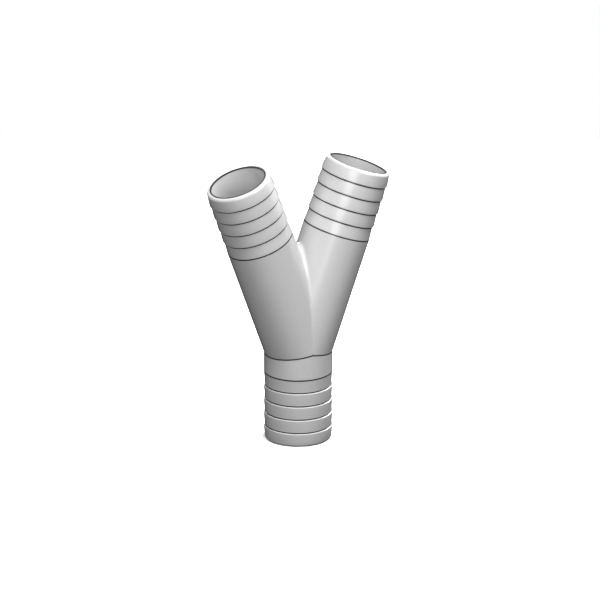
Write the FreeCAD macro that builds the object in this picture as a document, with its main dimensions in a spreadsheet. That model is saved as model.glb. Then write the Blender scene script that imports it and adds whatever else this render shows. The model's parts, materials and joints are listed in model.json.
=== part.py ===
import FreeCAD
import Part
import Sketcher
import math
import os
from enum import IntEnum

# A tubing Y connector, moulded in one piece. A stem points straight down and two arms rise from
# it in one plane, and each of the three limbs ends in the same barbed end, over which a hose is
# pushed. The axes of the limbs meet in one point, the junction, and every distance along a limb
# is measured from there. The part stands on its stem: the origin is the centre of the stem's end
# face, +Z runs up the stem, and the arms lean towards +X and -X.
# Lengths are in millimetres and angles in degrees.

SIZES = {
    # inside diameter of the hose, which is also the diameter at the foot of each barb
    "hose_bore": 25.4,
    # how far a barb's crest stands above its foot
    "barb_height": 0.45,
    # how far the plain part of a limb stands above the foot of the barbs
    "hub_rise": 0.4,
    # wall at the foot of the barbs, which leaves the bore
    "wall": 2.05,
    # from one barb's step to the next
    "barb_pitch": 5.4,
    # barbs on each limb: the first runs down from the shoulder, the others begin with a step
    "barb_count": 5,
    # flat that takes the corner off each crest
    "crest_flat": 0.3,
    # how far the rounded rim of a hose end reaches in from the end face and from the outside
    "rim_reach": 1.15,
    # from the junction to the shoulder, where the barbs begin
    "stem_shoulder": 9.9,
    "arm_shoulder": 47.4,
    # each arm's lean from the vertical
    "arm_angle": 20.0,
    # radius that the crotch between the arms is filled to
    "crotch_round": 1.0,
    # how deep inside the arms' surface the web in the crotch has its feet
    "web_inset": 0.1,
}

# Radii of a limb, and the sizes that follow from others
FOOT = "Sizes.hose_bore / 2"
CREST = f"({FOOT} + Sizes.barb_height)"
HUB = f"({FOOT} + Sizes.hub_rise)"
BORE = f"({FOOT} - Sizes.wall)"
BARBED_LENGTH = "Sizes.barb_count * Sizes.barb_pitch"
STEM_LENGTH = f"(Sizes.stem_shoulder + {BARBED_LENGTH})"
# the crest's flat leaves some of the step standing, and the rim some of the end face
CREST_FLAT = "min(Sizes.crest_flat; 0.9 * Sizes.barb_height)"
RIM_REACH = "min(Sizes.rim_reach; 0.9 * Sizes.wall)"


class Axis(IntEnum):
    """A sketch's own axes as its constraints name them. Its origin is the X axis's start."""

    X = -1
    Y = -2


class Spot(IntEnum):
    """The point of a line or an arc that a constraint holds."""

    START = 1
    END = 2
    CENTRE = 3


def make_sheet(document):
    """Put every driving size into the spreadsheet, each under its own name."""
    sheet = document.addObject("Spreadsheet::Sheet", "Sizes")
    for row, (name, value) in enumerate(SIZES.items(), start=1):
        sheet.set(f"A{row}", name)
        sheet.set(f"B{row}", str(value))
        sheet.setAlias(f"B{row}", name)
    document.recompute()


def add_sketch(body, name, plane, angle="0"):
    """A sketch in one of the body's upright planes, with its origin at the junction.

    The angle turns it there. Unturned, its Y axis runs up the stem.
    """
    sketch = body.newObject("Sketcher::SketchObject", name)
    support = next(item for item in body.Origin.OriginFeatures if item.Role == plane)
    sketch.AttachmentSupport = (support, [""])
    sketch.MapMode = "FlatFace"
    sketch.AttachmentOffset = FreeCAD.Placement(
        FreeCAD.Vector(0, sketch.evalExpression(STEM_LENGTH), 0),
        FreeCAD.Rotation(FreeCAD.Vector(0, 0, 1), sketch.evalExpression(angle)),
    )
    sketch.setExpression("AttachmentOffset.Base.y", STEM_LENGTH)
    sketch.setExpression("AttachmentOffset.Rotation.Angle", angle)
    return sketch


def relate(sketch, kind, *elements):
    sketch.addConstraint(Sketcher.Constraint(kind, *elements))


def constrain(sketch, kind, elements, rule):
    """Add a dimension that follows the sheet."""
    value = sketch.evalExpression(rule)
    number = sketch.addConstraint(Sketcher.Constraint(kind, *elements, value))
    sketch.setExpression(f"Constraints[{number}]", rule)


def fix_point(sketch, geometry, point, across, along):
    """Hold a point at two distances from the sketch's origin, or on an axis where one is 0."""
    for kind, axis, rule in (("DistanceX", Axis.Y, across), ("DistanceY", Axis.X, along)):
        if rule == "0":
            relate(sketch, "PointOnObject", geometry, point, axis)
        else:
            constrain(sketch, kind, [Axis.X, Spot.START, geometry, point], rule)


def draw_outline(sketch, corners):
    """A closed outline of straight lines from corner to corner."""
    points = [
        FreeCAD.Vector(sketch.evalExpression(across), sketch.evalExpression(along), 0)
        for across, along in corners
    ]
    lines = [
        sketch.addGeometry(Part.LineSegment(start, stop), False)
        for start, stop in zip(points, points[1:] + points[:1])
    ]
    for line, before, corner in zip(lines, lines[-1:] + lines[:-1], corners):
        relate(sketch, "Coincident", before, Spot.END, line, Spot.START)
        fix_point(sketch, line, Spot.START, *corner)


def limb_corners(shoulder):
    """Half section of a solid limb: its plain hub, the saw-tooth barbs and the rounded rim.

    Each corner is a radius and a distance along the limb's axis.
    """
    corners = [("0", "0"), (HUB, "0"), (HUB, shoulder)]
    top, run = "Sizes.hub_rise", "Sizes.barb_pitch"
    for number in range(1, SIZES["barb_count"]):
        step = f"({shoulder} + {number} * Sizes.barb_pitch)"
        corners += [(FOOT, step), (f"{CREST} - {CREST_FLAT}", step), (CREST, f"{step} + {CREST_FLAT}")]
        top, run = "Sizes.barb_height", f"(Sizes.barb_pitch - {CREST_FLAT})"

    # the last slope runs out into the rim, whose two flats lie on a round from side to face
    end = f"({shoulder} + {BARBED_LENGTH})"
    corner_cut = f"(1 - cos(45 deg)) * {RIM_REACH}"
    corners += [
        (f"{FOOT} + {top} * {RIM_REACH} / {run}", f"{end} - {RIM_REACH}"),
        (f"{FOOT} - {corner_cut}", f"{end} - {corner_cut}"),
        (f"{FOOT} - {RIM_REACH}", end),
        ("0", end),
    ]
    return corners


def bore_corners(shoulder):
    """Half section of a limb's bore, from the junction out through the end face."""
    end = f"{shoulder} + {BARBED_LENGTH}"
    return [("0", "0"), (BORE, "0"), (BORE, end), ("0", end)]


def turn_about_axis(body, kind, name, sketch):
    """Turn a half section once round the limb's own axis, to add it or to cut it away."""
    feature = body.newObject(kind, name)
    feature.Profile = sketch
    feature.ReferenceAxis = (sketch, ["V_Axis"])
    feature.Angle = 360
    return feature


def make_limbs(body, kind, name, corners):
    """Add or cut away the same kind of form on the stem and on both arms."""
    stem = add_sketch(body, f"stem_{name}_section", "XZ_Plane", "180")
    draw_outline(stem, corners("Sizes.stem_shoulder"))
    turn_about_axis(body, kind, f"stem_{name}", stem)

    arm = add_sketch(body, f"arm_{name}_section", "XZ_Plane", "-Sizes.arm_angle")
    draw_outline(arm, corners("Sizes.arm_shoulder"))
    turned = turn_about_axis(body, kind, f"arm_{name}", arm)
    mirrored = body.newObject("PartDesign::Mirrored", f"both_arms_{name}")
    mirrored.Originals = [turned]
    plane = next(item for item in body.Origin.OriginFeatures if item.Role == "YZ_Plane")
    mirrored.MirrorPlane = (plane, [""])
    body.Tip = mirrored


def make_crotch_web(body):
    """A thin upright web that fills the crease between the arms to a narrow saddle.

    Its top is half an ellipse. Over the middle it stands as high as the lowest point of a ball
    of the crotch's radius that rests between the arms, and on each side it runs out into the
    crease.
    """
    sketch = add_sketch(body, "crotch_web_section", "YZ_Plane")
    reach = f"({HUB} - Sizes.web_inset)"
    rise = f"(({HUB} + Sizes.crotch_round) / sin(Sizes.arm_angle * 1 deg) - Sizes.crotch_round)"
    side, height = sketch.evalExpression(reach), sketch.evalExpression(rise)
    top, left, right = (FreeCAD.Vector(*place, 0) for place in ((0, height), (-side, 0), (side, 0)))
    ellipse = Part.Ellipse(top, left, FreeCAD.Vector())
    arch = sketch.addGeometry(Part.ArcOfEllipse(ellipse, -math.pi / 2, math.pi / 2), False)
    base = sketch.addGeometry(Part.LineSegment(left, right), False)
    sketch.exposeInternalGeometry(arch)
    long_axis = base + 1
    relate(sketch, "Coincident", arch, Spot.CENTRE, Axis.X, Spot.START)
    relate(sketch, "Coincident", arch, Spot.START, base, Spot.END)
    relate(sketch, "Coincident", arch, Spot.END, base, Spot.START)
    relate(sketch, "PointOnObject", base, Spot.START, Axis.X)
    relate(sketch, "Vertical", long_axis)
    fix_point(sketch, base, Spot.END, reach, "0")
    constrain(sketch, "Distance", [long_axis], f"2 * {rise}")

    web = body.newObject("PartDesign::Pad", "crotch_web")
    web.Profile = sketch
    web.SideType = "Symmetric"
    web.setExpression("Length", "2 * Sizes.crotch_round")


def make_y_connector(document):
    """The whole moulding: three limbs that meet at the junction, the web and the bores."""
    body = document.addObject("PartDesign::Body", "y_connector")
    body.Label = "y_connector"
    make_limbs(body, "PartDesign::Revolution", "limb", limb_corners)
    make_crotch_web(body)
    make_limbs(body, "PartDesign::Groove", "bore", bore_corners)
    document.recompute()
    return body


def check(document, bodies):
    """Stop if anything failed to build, is not fully drawn, or cuts nothing."""
    for item in document.Objects:
        if "Invalid" in item.State or "Error" in item.State:
            raise RuntimeError(f"{item.Name} failed to build: {item.State}")
        if item.TypeId == "Sketcher::SketchObject" and not item.FullyConstrained:
            raise RuntimeError(f"{item.Name} is not fully constrained")
        if item.TypeId == "PartDesign::Groove" and item.Shape.Volume >= item.BaseFeature.Shape.Volume:
            raise RuntimeError(f"{item.Name} cuts nothing")
    for body in bodies:
        if body.Shape.isNull() or not body.Shape.isValid() or len(body.Shape.Solids) != 1:
            raise RuntimeError(f"{body.Label} is not one valid solid")


document = FreeCAD.newDocument("TubingYConnector")
make_sheet(document)
bodies = [make_y_connector(document)]
check(document, bodies)
os.makedirs("parts", exist_ok=True)
for body in bodies:
    body.Shape.exportStep(f"parts/{body.Label}.step")
    box = body.Shape.BoundBox
    print(body.Label, "volume", round(body.Shape.Volume, 1), "faces", len(body.Shape.Faces))
    print("box", [round(value, 3) for value in (box.XMin, box.XMax, box.YMin, box.YMax, box.ZMin, box.ZMax)])
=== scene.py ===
import json
import math

import bmesh
import bpy
import numpy as np
from mathutils import Matrix, Vector


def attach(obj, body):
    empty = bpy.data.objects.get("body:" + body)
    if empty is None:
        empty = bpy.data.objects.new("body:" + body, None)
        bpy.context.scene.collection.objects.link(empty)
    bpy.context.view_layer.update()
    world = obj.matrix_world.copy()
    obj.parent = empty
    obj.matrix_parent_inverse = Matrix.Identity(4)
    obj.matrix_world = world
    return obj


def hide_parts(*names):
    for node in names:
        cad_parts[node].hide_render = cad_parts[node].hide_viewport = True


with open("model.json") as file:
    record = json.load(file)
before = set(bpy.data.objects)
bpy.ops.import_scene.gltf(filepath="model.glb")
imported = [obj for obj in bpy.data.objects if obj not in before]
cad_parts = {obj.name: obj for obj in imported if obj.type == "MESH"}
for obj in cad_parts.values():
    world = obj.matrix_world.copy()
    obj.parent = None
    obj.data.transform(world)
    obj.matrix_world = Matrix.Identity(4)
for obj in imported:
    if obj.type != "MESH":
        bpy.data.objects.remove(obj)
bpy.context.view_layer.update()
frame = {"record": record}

# Sizes, in metres and degrees. Those that the record states come from its mounts.
MM = 0.001
MOUNTS = {mount["name"]: mount for mount in frame["record"]["mounts"]}
STEM_LENGTH = MOUNTS["stem_bore"]["dims"]["length_mm"] * MM
ARM_LENGTH = MOUNTS["right_bore"]["dims"]["length_mm"] * MM
BARBED_LENGTH = MOUNTS["stem_barbs"]["dims"]["length_mm"] * MM
BORE = MOUNTS["stem_bore"]["dims"]["r_mm"] * MM
CREST = MOUNTS["stem_barbs"]["dims"]["r_mm"] * MM
LEAN = math.atan2(MOUNTS["right_bore"]["axis"][0], MOUNTS["right_bore"]["axis"][2])
BARB_COUNT = 5
BARB_HEIGHT = 0.45 * MM
HUB_RISE = 0.4 * MM
CREST_ROUND = 0.35 * MM
RIM_ROUND = 1.15 * MM
# more than the solid's 1 mm, because the photo's saddle lies higher than the solid's
CROTCH_ROUND = 1.4 * MM
FOOT = CREST - BARB_HEIGHT
HUB = FOOT + HUB_RISE
PITCH = BARBED_LENGTH / BARB_COUNT
JUNCTION = np.array([0, 0, STEM_LENGTH])

# Points round a limb, a multiple of 4 so that the limbs share them where they meet
TURN_STEPS = 240
QUARTER = TURN_STEPS // 4
# Points over the round of a crest, of a rim and of the blend in the crotch
CREST_STEPS = 7
RIM_STEPS = 10
BLEND_STEPS = 13
# Places along a section are rounded to these digits, and points that are nearer to each other
# than that are the same point
DIGITS = 7
SAME_POINT = 10**-DIGITS
# stands in for a length of zero where a vector is divided by it
NEAR_ZERO = 1e-12
# How far the painted shade line along an edge or crease reaches: on a plain wall, on a barb's
# slope before the next step, onto the step, over the end face round the mouth, and from there
# into the bore
LINE = 0.35 * MM
FOOT_LINE = 0.55 * MM
STEP_LINE = 0.1 * MM
MOUTH_LINE = 0.8 * MM
BORE_LINE = 0.6 * MM
# the share of its reach over which a painted shade line is full, before it fades
FULL = 0.7


def arc(centre, radius, first, last, steps):
    """Points (radius, along) of an arc in a limb's section, its angles in degrees."""
    angles = np.radians(np.linspace(first, last, steps))
    return [(centre[0] + radius * math.cos(a), centre[1] + radius * math.sin(a)) for a in angles]


def limb_section(length):
    """The outer side of a limb from its shoulder to the mouth of its bore.

    Returns its points (radius, along), and its edges: which point each is, and how far its
    painted shade line reaches before and after it.
    """
    shoulder = length - BARBED_LENGTH
    slope_angle = math.degrees(math.atan2(BARB_HEIGHT, PITCH - CREST_ROUND))
    points = [(HUB, shoulder)]
    edges = [(0, 0, LINE)]
    for number in range(1, BARB_COUNT):
        step = shoulder + number * PITCH
        edges.append((len(points), FOOT_LINE, STEP_LINE))
        points.append((FOOT, step))
        centre = (CREST - CREST_ROUND, step + CREST_ROUND)
        points += arc(centre, CREST_ROUND, -90, slope_angle, CREST_STEPS)
    centre = (FOOT - RIM_ROUND, length - RIM_ROUND)
    points += arc(centre, RIM_ROUND, slope_angle, 90, RIM_STEPS)
    edges.append((len(points), MOUTH_LINE, 0))
    points.append((BORE, length))
    return points, edges


def painted_shade_at(distance, reach):
    """How dark a painted shade line is at a distance from its edge, from 1 beside it to 0 past its
    reach.
    """
    if not reach:
        return np.zeros(np.shape(distance))
    return np.clip((1 - distance / reach) / (1 - FULL), 0, 1)


def section_rows(points, edges):
    """Each row's radius and distance along, how much painted shade it has, and whether it is an edge.

    Rows are added beside the edges, where their painted shade lines begin to fade and where they end.
    """
    spots = np.array(points)
    path = np.concatenate([[0], np.cumsum(np.linalg.norm(np.diff(spots, axis=0), axis=1))])
    beside = [
        path[place] + share * reach
        for place, before, after in edges
        for share, reach in ((-1, before), (-FULL, before), (FULL, after), (1, after))
    ]
    rows = np.unique(np.clip(np.concatenate([path, beside]), 0, path[-1]).round(DIGITS))
    shade = np.zeros(len(rows))
    for place, before, after in edges:
        offset = rows - path[place]
        shade = np.maximum(shade, np.where(offset < SAME_POINT, painted_shade_at(-offset, before), 0))
        shade = np.maximum(shade, np.where(offset > -SAME_POINT, painted_shade_at(offset, after), 0))
    marks = path[[place for place, before, after in edges]].round(DIGITS)
    radius = np.interp(rows, path, spots[:, 0])
    along = np.interp(rows, path, spots[:, 1])
    return radius, along, shade, np.isin(rows, marks)


class Limb:
    """A limb's axis from the junction out, and the directions of angle 0 and 90 degrees round it."""

    def __init__(self, axis, side):
        self.axis = np.array(axis)
        self.side = np.array(side)
        self.rear = np.array([0, 1, 0])

    def point(self, angle, radius, along):
        around = np.cos(angle)[..., None] * self.side + np.sin(angle)[..., None] * self.rear
        out = np.asarray(radius)[..., None] * around
        return JUNCTION + np.asarray(along)[..., None] * self.axis + out


class Skin:
    """Collects grids of points, with how much painted shade each has, and their faces into one mesh."""

    def __init__(self):
        self.points = []
        self.shade = []
        self.faces = []
        self.sharp = []

    def add_grid(self, rows, shade, sharp_rows=(), closed=True):
        """Rows of points with faces between them. A sharp row is a crease in the shading."""
        base = sum(len(block) for block in self.points)
        count, width = rows.shape[:2]
        self.points.append(rows.reshape(-1, 3))
        self.shade.append(np.broadcast_to(shade, (count, width)).reshape(-1))
        last = width if closed else width - 1
        for row in range(count - 1):
            for column in range(last):
                after = (column + 1) % width
                here, above = base + row * width, base + (row + 1) * width
                self.faces.append((here + column, here + after, above + after, above + column))
        for row in sharp_rows:
            start = base + row * width
            self.sharp += [(start + column, start + (column + 1) % width) for column in range(last)]

    def make(self, name):
        points = np.concatenate(self.points)
        mesh = bpy.data.meshes.new(name)
        mesh.from_pydata(points.tolist(), [], self.faces)
        # painted shade along the edges, creases and bore mouths, which darkens the plastic's colour
        layer = mesh.attributes.new("line", "FLOAT", "POINT")
        layer.data.foreach_set("value", np.concatenate(self.shade).astype(np.float32))
        body = bmesh.new()
        body.from_mesh(mesh)
        body.verts.ensure_lookup_table()
        for face in body.faces:
            face.smooth = True
        for start, stop in self.sharp:
            edge = body.edges.get((body.verts[start], body.verts[stop]))
            if edge:
                edge.smooth = False
        bmesh.ops.remove_doubles(body, verts=body.verts, dist=SAME_POINT)
        bmesh.ops.recalc_face_normals(body, faces=body.faces)
        body.to_mesh(mesh)
        body.free()
        piece = bpy.data.objects.new(name, mesh)
        bpy.context.scene.collection.objects.link(piece)
        return piece


def arm_start(angle, radius, blend=0.0):
    """How far along an arm its wall begins: at the stem outside, at the other arm inside.

    A blend of some radius between the arms takes the inner side's start further up.
    """
    cosine = np.cos(angle)
    at_stem = radius * cosine * math.tan(LEAN / 2)
    at_arm = -(radius + blend) * cosine / math.tan(LEAN)
    return np.where(cosine >= 0, at_stem, at_arm)


def stem_start(angle, radius):
    """How far down the stem its wall begins, at one arm or the other."""
    return radius * np.abs(np.cos(angle)) * math.tan(LEAN / 2)


def add_wall(skin, limb, angle, radius, start, stop, start_line, stop_reach):
    """A plain round wall between two edges, with rows for the painted shade lines along them.

    The painted shade line at its start is as dark as start_line says, and the one at its stop
    reaches stop_reach back from the edge.
    """
    near_start = [start + LINE * share for share in (0, FULL, 1)]
    near_stop = [stop - stop_reach * share for share in (1, FULL, 0)]
    first, last = near_start[-1], near_stop[0]
    middle = [first + share * (last - first) for share in (0.25, 0.5, 0.75)]
    alongs = np.stack([along + np.zeros(len(angle)) for along in near_start + middle + near_stop])
    rows = np.stack([limb.point(angle, np.full(len(angle), radius), along) for along in alongs])
    shade = np.zeros(alongs.shape)
    shade[:2] = start_line
    shade[-2:] = 1
    skin.add_grid(rows, shade, sharp_rows=[0, len(alongs) - 1])


def add_limb(skin, limb, length, start_of, is_arm):
    """One limb's plain hub, its hose end and its bore."""
    angle = np.arange(TURN_STEPS) * 2 * math.pi / TURN_STEPS
    # an arm has a painted shade line in the crease where it meets the stem, and none along the blend in
    # the crotch
    meets_stem = (np.cos(angle) > -SAME_POINT).astype(float) if is_arm else np.ones(TURN_STEPS)
    start = start_of(angle, HUB, CROTCH_ROUND) if is_arm else start_of(angle, HUB)
    add_wall(skin, limb, angle, HUB, start, length - BARBED_LENGTH, meets_stem, LINE)
    add_wall(skin, limb, angle, BORE, start_of(angle, BORE), length, 0, BORE_LINE)

    radius, along, shade, is_edge = section_rows(*limb_section(length))
    rows = np.stack([
        limb.point(angle, np.full(TURN_STEPS, r), np.full(TURN_STEPS, a)) for r, a in zip(radius, along)
    ])
    skin.add_grid(rows, shade[:, None], sharp_rows=np.flatnonzero(is_edge))


def add_crotch(skin, right, left):
    """The blend between the arms: the path of a ball that rolls down the crease between them."""
    angle = np.arange(QUARTER, 3 * QUARTER + 1) * 2 * math.pi / TURN_STEPS
    along = -(HUB + CROTCH_ROUND) * np.cos(angle) / math.tan(LEAN)
    centre = right.point(angle, np.full(len(angle), HUB + CROTCH_ROUND), along)
    to_right = right.point(angle, np.full(len(angle), HUB), along) - centre
    to_left = left.point(angle, np.full(len(angle), HUB), along) - centre
    half = np.arccos(np.clip(np.sum(to_right * to_left, axis=1) / CROTCH_ROUND**2, -1, 1)) / 2
    middle = to_right + to_left
    middle /= np.linalg.norm(middle, axis=1)[:, None]
    # at the two ends of the crease the ball touches both arms in one point, and across is zero
    across = to_right - to_left
    across /= np.maximum(np.linalg.norm(across, axis=1), NEAR_ZERO)[:, None]
    rows = []
    for share in np.linspace(1, -1, BLEND_STEPS):
        turn = (half * share)[:, None]
        rows.append(centre + CROTCH_ROUND * (np.cos(turn) * middle + np.sin(turn) * across))
    skin.add_grid(np.stack(rows), 0.0, closed=False)


def make_skin():
    """The whole moulding, as one closed skin."""
    right = Limb((math.sin(LEAN), 0, math.cos(LEAN)), (math.cos(LEAN), 0, -math.sin(LEAN)))
    left = Limb((-math.sin(LEAN), 0, math.cos(LEAN)), (-math.cos(LEAN), 0, -math.sin(LEAN)))
    stem = Limb((0, 0, -1), (1, 0, 0))
    skin = Skin()
    add_limb(skin, stem, STEM_LENGTH, stem_start, is_arm=False)
    for arm in (right, left):
        add_limb(skin, arm, ARM_LENGTH, arm_start, is_arm=True)
    add_crotch(skin, right, left)
    return skin.make("moulding")


moulding = make_skin()
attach(moulding, "root")
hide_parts("y_connector")


# The plastic's tone and roughness, each a range, and what they are in a painted shade line
TONE = (0.391, 0.409)
ROUGHNESS = (0.41, 0.49)
PAINTED_SHADE_TONE = 0.02
LINE_ROUGHNESS = 0.95
COAT_ROUGHNESS = 0.2
# How large the uneven places in its tone, its sheen and its surface are
MOTTLE = 1.2 * MM
SHEEN_PATCH = 2.5 * MM
GRAIN = 0.4 * MM
# how high the grain of the surface stands, and the share of it that shows
GRAIN_HEIGHT = 0.02 * MM
GRAIN_STRENGTH = 0.25


def add_noise(tree, coordinates, feature, detail):
    """A noise whose features are about that large, in metres."""
    noise = tree.nodes.new("ShaderNodeTexNoise")
    noise.inputs["Scale"].default_value = 1 / feature
    noise.inputs["Detail"].default_value = detail
    tree.links.new(coordinates, noise.inputs["Vector"])
    return noise.outputs["Fac"]


def add_range(tree, value, low, high):
    """The noise, which stays between about 0.3 and 0.7, spread over a range."""
    spread = tree.nodes.new("ShaderNodeMapRange")
    spread.inputs["From Min"].default_value = 0.3
    spread.inputs["From Max"].default_value = 0.7
    spread.inputs["To Min"].default_value = low
    spread.inputs["To Max"].default_value = high
    tree.links.new(value, spread.inputs["Value"])
    return spread.outputs["Result"]


def plastic():
    """Light grey moulded plastic, a little uneven in tone and sheen, with painted shade along its
    edges.
    """
    material = bpy.data.materials.new("grey_plastic")
    material.use_nodes = True
    tree = material.node_tree
    shader = tree.nodes["Principled BSDF"]
    place = tree.nodes.new("ShaderNodeTexCoord").outputs["Object"]

    # painted shade along the edges, creases and bore mouths: it darkens the base colour nearly to black
    line = tree.nodes.new("ShaderNodeAttribute")
    line.attribute_name = "line"

    tone = add_range(tree, add_noise(tree, place, MOTTLE, detail=3), *TONE)
    colour = tree.nodes.new("ShaderNodeMix")
    colour.data_type = "RGBA"
    tree.links.new(line.outputs["Fac"], colour.inputs["Factor"])
    tree.links.new(tone, colour.inputs["A"])
    colour.inputs["B"].default_value = (PAINTED_SHADE_TONE, PAINTED_SHADE_TONE, PAINTED_SHADE_TONE, 1)
    tree.links.new(colour.outputs["Result"], shader.inputs["Base Color"])

    roughness = add_range(tree, add_noise(tree, place, SHEEN_PATCH, detail=4), *ROUGHNESS)
    sheen = tree.nodes.new("ShaderNodeMix")
    tree.links.new(line.outputs["Fac"], sheen.inputs["Factor"])
    tree.links.new(roughness, sheen.inputs["A"])
    sheen.inputs["B"].default_value = LINE_ROUGHNESS
    tree.links.new(sheen.outputs["Result"], shader.inputs["Roughness"])
    shader.inputs["Specular IOR Level"].default_value = 1
    # the skin that the mould leaves: it shines at a glance and darkens where the wall turns away
    shader.inputs["Coat Weight"].default_value = 1
    shader.inputs["Coat Roughness"].default_value = COAT_ROUGHNESS

    bump = tree.nodes.new("ShaderNodeBump")
    bump.inputs["Strength"].default_value = GRAIN_STRENGTH
    bump.inputs["Distance"].default_value = GRAIN_HEIGHT
    tree.links.new(add_noise(tree, place, GRAIN, detail=2), bump.inputs["Height"])
    tree.links.new(bump.outputs["Normal"], shader.inputs["Normal"])
    return material


moulding.data.materials.append(plastic())

# The camera: it looks along the photo's line of sight, and PIXEL is what one pixel covers
PIXELS = 600
PIXEL = 0.3815 * MM
AZIMUTH, ELEVATION = -25, 19.9
CAMERA_DISTANCE = 0.5
# where the junction lies in the photo
JUNCTION_PX = (298.1, 345.2)
# The lights' distance from a point in the object's middle, which they all face
LIGHT_DISTANCE = 1.0
MIDDLE = Vector((0, 0, 0.06))
FLOOR_RADIUS = 0.35
FLOOR_TONE = 0.97
FLOOR_ROUGHNESS = 0.9


def direction(azimuth, elevation):
    """From the object towards a place round it. Azimuth 0 is the front and 90 the +X side."""
    turn, rise = math.radians(azimuth), math.radians(elevation)
    return Vector((math.sin(turn) * math.cos(rise), -math.cos(turn) * math.cos(rise), math.sin(rise)))


def add_camera():
    """A parallel view of the object, moved sideways and up to where the photo has it."""
    data = bpy.data.cameras.new("camera")
    data.type = "ORTHO"
    data.ortho_scale = PIXELS * PIXEL
    camera = bpy.data.objects.new("camera", data)
    bpy.context.scene.collection.objects.link(camera)
    back = direction(AZIMUTH, ELEVATION)
    right = Vector((math.cos(math.radians(AZIMUTH)), math.sin(math.radians(AZIMUTH)), 0))
    up = back.cross(right)
    across = (PIXELS / 2 - JUNCTION_PX[0]) * PIXEL
    above = (JUNCTION_PX[1] - PIXELS / 2) * PIXEL
    place = Vector(JUNCTION) + across * right + above * up + CAMERA_DISTANCE * back
    camera.matrix_world = Matrix.Translation(place) @ Matrix((right, up, back)).transposed().to_4x4()
    bpy.context.scene.camera = camera


def add_light(name, azimuth, elevation, size, energy, shines=True):
    """A round soft light that faces the object's middle, its size in metres and energy in watts.

    One that doesn't shine lights the object and is not seen in its gloss.
    """
    data = bpy.data.lights.new(name, "AREA")
    data.shape = "DISK"
    data.size = size
    data.energy = energy
    light = bpy.data.objects.new(name, data)
    bpy.context.scene.collection.objects.link(light)
    way = direction(azimuth, elevation)
    light.location = MIDDLE + LIGHT_DISTANCE * way
    light.rotation_euler = way.to_track_quat("Z", "Y").to_euler()
    light.visible_camera = False
    light.visible_glossy = shines


def add_floor():
    """A pale floor, bright enough under these lights to melt into the white behind it."""
    mesh = bpy.data.meshes.new("floor")
    disc = bmesh.new()
    bmesh.ops.create_circle(disc, cap_ends=True, segments=96, radius=FLOOR_RADIUS)
    disc.to_mesh(mesh)
    disc.free()
    floor = bpy.data.objects.new("floor", mesh)
    bpy.context.scene.collection.objects.link(floor)
    material = bpy.data.materials.new("floor")
    material.use_nodes = True
    shader = material.node_tree.nodes["Principled BSDF"]
    shader.inputs["Base Color"].default_value = (FLOOR_TONE, FLOOR_TONE, FLOOR_TONE, 1)
    shader.inputs["Roughness"].default_value = FLOOR_ROUGHNESS
    mesh.materials.append(material)
    # the floor takes the object's shadow and throws no light back at it
    floor.visible_diffuse = False
    floor.visible_glossy = False


def add_world():
    """White behind everything, seen by the camera alone."""
    world = bpy.data.worlds.new("world")
    world.use_nodes = True
    world.node_tree.nodes["Background"].inputs["Color"].default_value = (1, 1, 1, 1)
    world.cycles_visibility.diffuse = False
    world.cycles_visibility.glossy = False
    bpy.context.scene.world = world


add_camera()
# each light's azimuth and elevation, its size and its energy
add_light("key", -18, 70, 0.5, 14.2, shines=False)
add_light("top", 120, 69, 0.4, 11, shines=False)
add_light("front", -31, 15, 0.5, 2.5)
add_light("left", -60, 15, 0.5, 4.9, shines=False)
add_light("right", 30, 30, 0.5, 6.5)
add_light("rim", 115, 30, 0.5, 13)
add_light("low", 168, 4, 0.3, 4)
add_light("back", 200, 20, 0.6, 2, shines=False)
add_floor()
add_world()
bpy.context.scene.view_settings.view_transform = "Standard"
